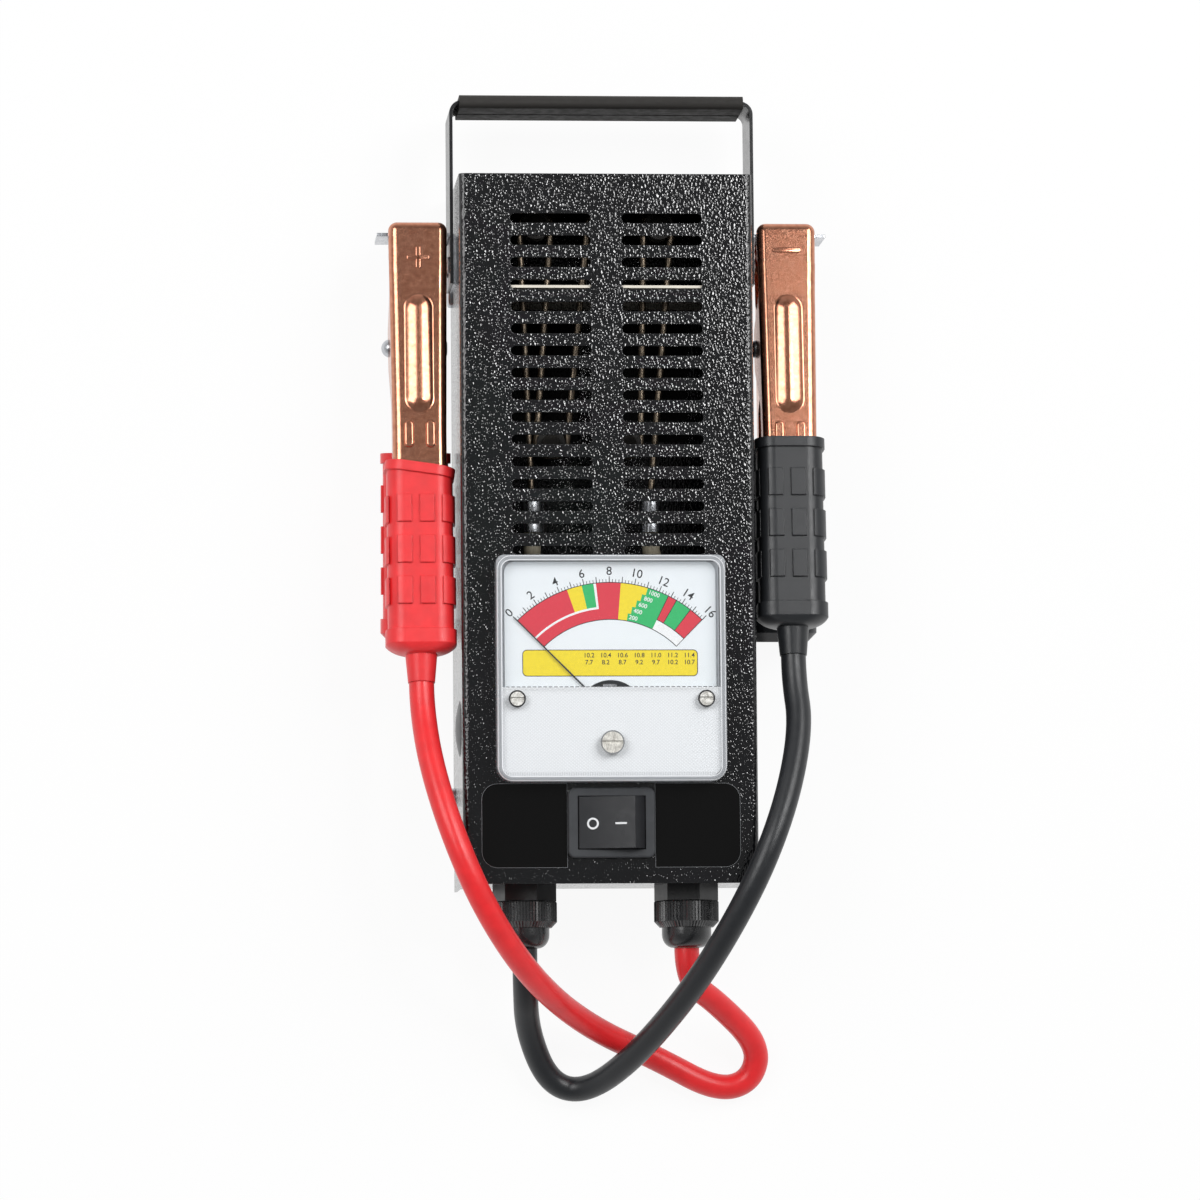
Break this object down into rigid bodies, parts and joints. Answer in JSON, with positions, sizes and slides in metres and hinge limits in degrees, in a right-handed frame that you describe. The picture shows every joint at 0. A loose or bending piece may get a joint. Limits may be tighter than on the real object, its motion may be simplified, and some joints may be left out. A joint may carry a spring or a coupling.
{
  "type": "battery load tester",
  "caption": "Hand-carried battery load tester: vented sheet-metal case with a strap handle, panel meter, rocker switch and crossing leads whose spring clamps park on side tabs.",
  "frame": {"origin": "centre of the flat back face that the case lies on", "axes": "+Z out of the front panel, +Y along the case towards the handle, +X to the right of the panel"},
  "size_m": [0.1626, 0.3629, 0.0726],
  "materials": {
    "case_paint": "black hammertone enamel, glossy and finely dimpled",
    "strap_paint": "black enamel",
    "sleeve_vinyl": "satin black vinyl",
    "bright_steel": "zinc plated",
    "black_nylon": "moulded black nylon",
    "seal_rubber": "soft black rubber",
    "clear_plastic": "clear, polished",
    "white_plastic": "white, smooth",
    "dial_paint": "printed in coloured bands",
    "needle_paint": "matt black",
    "zero_plastic": "black, slotted",
    "magnet_iron": "dark iron",
    "switch_plastic": "glossy black",
    "contact_brass": "plain brass",
    "load_alloy": "dull resistance alloy",
    "ceramic": "white ceramic",
    "copper_plate": "copper plated steel",
    "red_vinyl": "soft red vinyl",
    "black_vinyl": "soft black vinyl",
    "red_cable": "red cable jacket",
    "black_cable": "black cable jacket"
  },
  "bodies": {
    "case": {"black_front_grip": "black_vinyl", "black_front_jaw": "copper_plate", "black_gland_body": "black_nylon", "black_gland_locknut": "black_nylon", "black_gland_nut": "black_nylon", "black_gland_seal": "seal_rubber", "black_jaw_spring": "bright_steel", "black_lead": "black_cable", "black_lead_tail": "black_cable", "black_pivot_rivet": "bright_steel", "cover_screws": "bright_steel", "front_cover": "case_paint", "handle_rivets": "bright_steel", "handle_sleeve": "sleeve_vinyl", "handle_strap": "strap_paint", "insulator_board": "ceramic", "insulator_posts": "bright_steel", "left_clamp_rest": "bright_steel", "load_ferrules": "bright_steel", "load_insulators": "ceramic", "load_wire": "load_alloy", "meter_apron": "white_plastic", "meter_base": "black_nylon", "meter_bridge": "bright_steel", "meter_core": "magnet_iron", "meter_cover": "clear_plastic", "meter_cover_screws": "bright_steel", "meter_dial": "dial_paint", "meter_magnet": "magnet_iron", "meter_nuts": "bright_steel", "meter_terminals": "contact_brass", "rear_chassis": "case_paint", "red_front_grip": "red_vinyl", "red_front_jaw": "copper_plate", "red_gland_body": "black_nylon", "red_gland_locknut": "black_nylon", "red_gland_nut": "black_nylon", "red_gland_seal": "seal_rubber", "red_jaw_spring": "bright_steel", "red_lead": "red_cable", "red_lead_tail": "red_cable", "red_pivot_rivet": "bright_steel", "right_clamp_rest": "bright_steel", "side_plug": "black_nylon", "switch_contact": "contact_brass", "switch_housing": "switch_plastic", "switch_jumper": "black_cable", "switch_lugs": "bright_steel", "switch_terminals": "bright_steel"},
    "rocker": {"switch_rocker": "switch_plastic"},
    "needle": {"meter_needle": "needle_paint", "moving_coil": "bright_steel"},
    "zero_adjuster": {"zero_screw": "zero_plastic"},
    "red_rear_handle": {"red_rear_jaw": "copper_plate", "red_rear_grip": "red_vinyl"},
    "black_rear_handle": {"black_rear_jaw": "copper_plate", "black_rear_grip": "black_vinyl"}
  },
  "joints": [
    {"name": "rocker_hinge", "type": "hinge", "parent": "case", "child": "rocker", "pos_m": [0, -0.106, 0.05437], "axis": [0, 1, 0], "range_deg": [0, 24], "stiffness_Nm_per_rad": 0.05, "springref_deg": -14.32},
    {"name": "needle_hinge", "type": "hinge", "parent": "case", "child": "needle", "pos_m": [0, -0.0673, 0.062], "axis": [0, 0, 1], "range_deg": [-90, 0], "stiffness_Nm_per_rad": 0.0001, "springref_deg": 2.86},
    {"name": "zero_hinge", "type": "hinge", "parent": "case", "child": "zero_adjuster", "pos_m": [0, -0.0779, 0.066], "axis": [0, 0, 1], "range_deg": [-45, 45]},
    {"name": "red_clamp_hinge", "type": "hinge", "parent": "case", "child": "red_rear_handle", "pos_m": [-0.0668, 0.068, 0.029], "axis": [-1, 0, 0], "range_deg": [0, 10], "stiffness_Nm_per_rad": 0.6, "springref_deg": -8.59},
    {"name": "black_clamp_hinge", "type": "hinge", "parent": "case", "child": "black_rear_handle", "pos_m": [0.0668, 0.068, 0.029], "axis": [-1, 0, 0], "range_deg": [0, 10], "stiffness_Nm_per_rad": 0.6, "springref_deg": -8.59}
  ]
}
